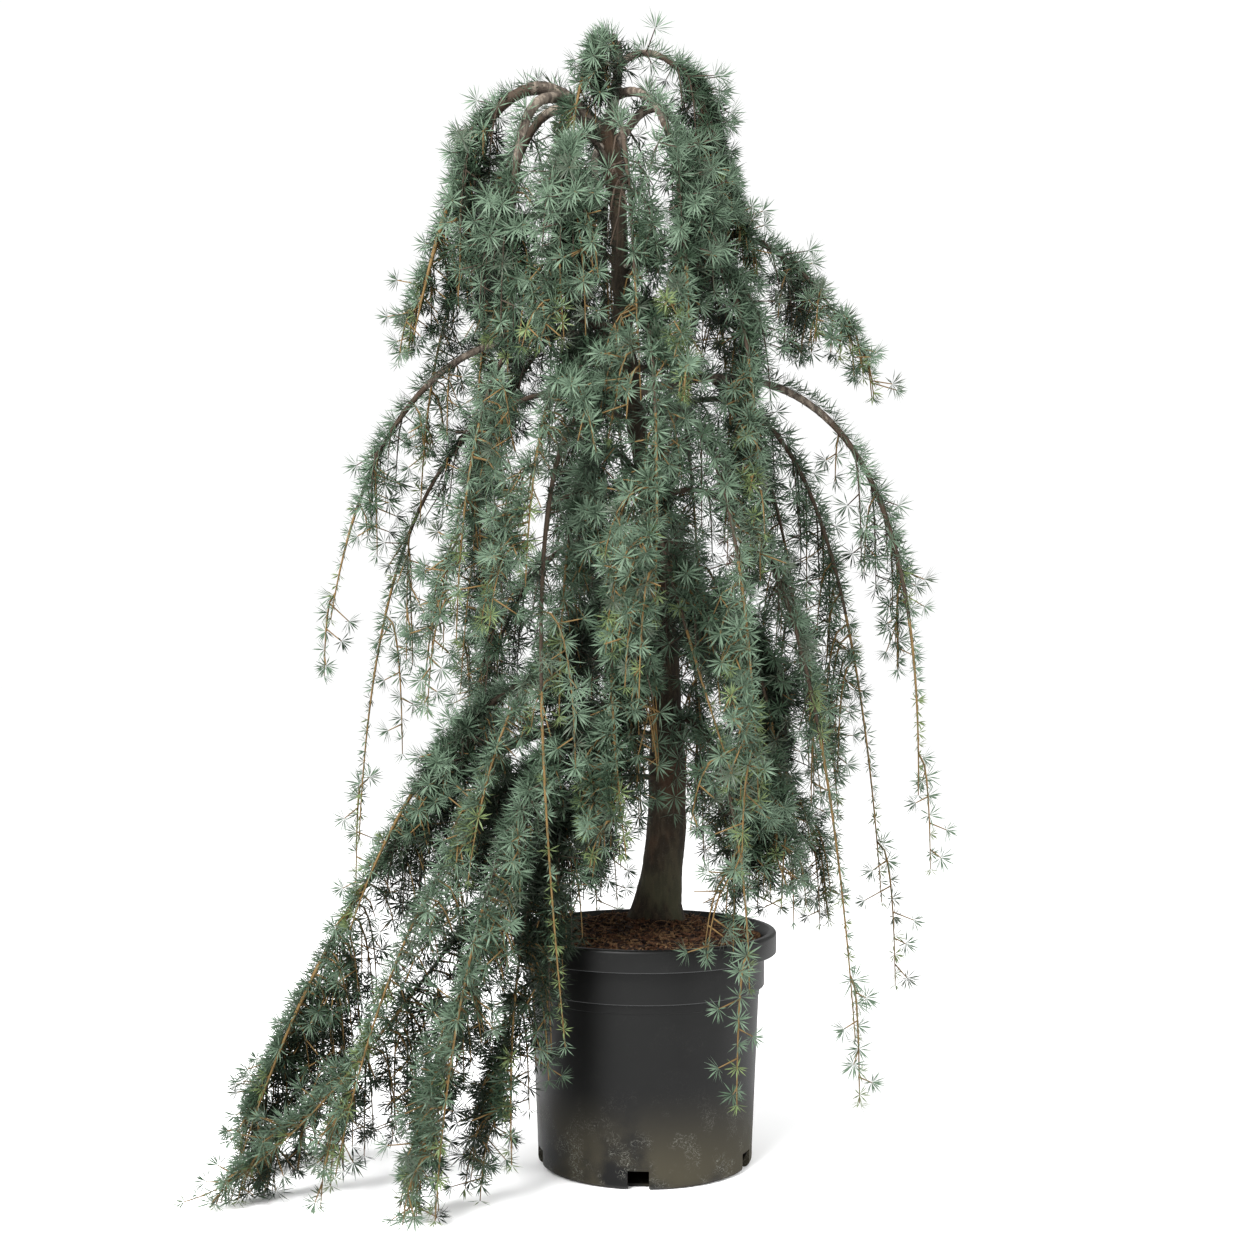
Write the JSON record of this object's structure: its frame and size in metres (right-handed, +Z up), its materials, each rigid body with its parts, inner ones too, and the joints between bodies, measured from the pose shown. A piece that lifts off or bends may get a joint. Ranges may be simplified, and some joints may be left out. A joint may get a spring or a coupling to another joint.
{
  "type": "potted weeping cedar of lebanon",
  "caption": "Weeping blue cedar tree in a round nursery pot: a leaning stem under arching boughs, with curtains of needled twigs that hang to the ground.",
  "frame": {"origin": "middle of the pot's flat underside, on the ground", "axes": "+Z up along the height, -Y towards the picture's front, +X to the picture's right"},
  "size_m": [0.994, 0.6669, 1.5629],
  "materials": {
    "pot_plastic": "dark charcoal, scuffed, soft sheen",
    "soil": "red-brown bark and coir fibre, rough",
    "bark": "grey-brown furrowed bark",
    "needles": "blue-green glaucous needles on golden-brown twigs"
  },
  "bodies": {
    "root": {"back_left_low_foliage": "needles", "back_left_mantle_foliage": "needles", "back_left_top_bough": "bark", "back_left_top_foliage": "needles", "back_low_foliage": "needles", "back_mantle_foliage": "needles", "back_right_foot_foliage": "needles", "back_right_low_foliage": "needles", "back_right_mantle_foliage": "needles", "back_right_outer_foliage": "needles", "back_right_top_bough": "bark", "back_right_top_foliage": "needles", "back_top_foliage": "needles", "cascade_front_foliage": "needles", "cascade_ground_foliage": "needles", "cascade_heart_foliage": "needles", "cascade_inner_foliage": "needles", "cascade_left_bough": "bark", "cascade_left_foliage": "needles", "cascade_top_bough": "bark", "cascade_top_foliage": "needles", "centre_left_foliage": "needles", "crest_bough": "bark", "crest_foliage": "needles", "diagonal_spray_foliage": "needles", "far_left_bough": "bark", "far_left_foliage": "needles", "far_right_bough": "bark", "far_right_foliage": "needles", "front_fall_bough": "bark", "front_fall_foliage": "needles", "front_left_curtain_foliage": "needles", "front_low_foliage": "needles", "front_right_curtain_foliage": "needles", "golden_whip_foliage": "needles", "left_centre_bough": "bark", "left_centre_foliage": "needles", "left_fall_bough": "bark", "left_fall_foliage": "needles", "left_front_mantle_foliage": "needles", "left_long_foliage": "needles", "left_low_foliage": "needles", "left_mantle_foliage": "needles", "left_shoulder_bough": "bark", "left_shoulder_foliage": "needles", "pot": "pot_plastic", "right_crest_bough": "bark", "right_crest_foliage": "needles", "right_front_bough": "bark", "right_front_foliage": "needles", "right_front_whips_foliage": "needles", "right_long_foliage": "needles", "right_low_foliage": "needles", "right_mantle_foliage": "needles", "right_outer_foliage": "needles", "right_rim_plume_foliage": "needles", "right_spur_bough": "bark", "right_spur_foliage": "needles", "soil": "soil", "trunk": "bark"}
  },
  "joints": []
}
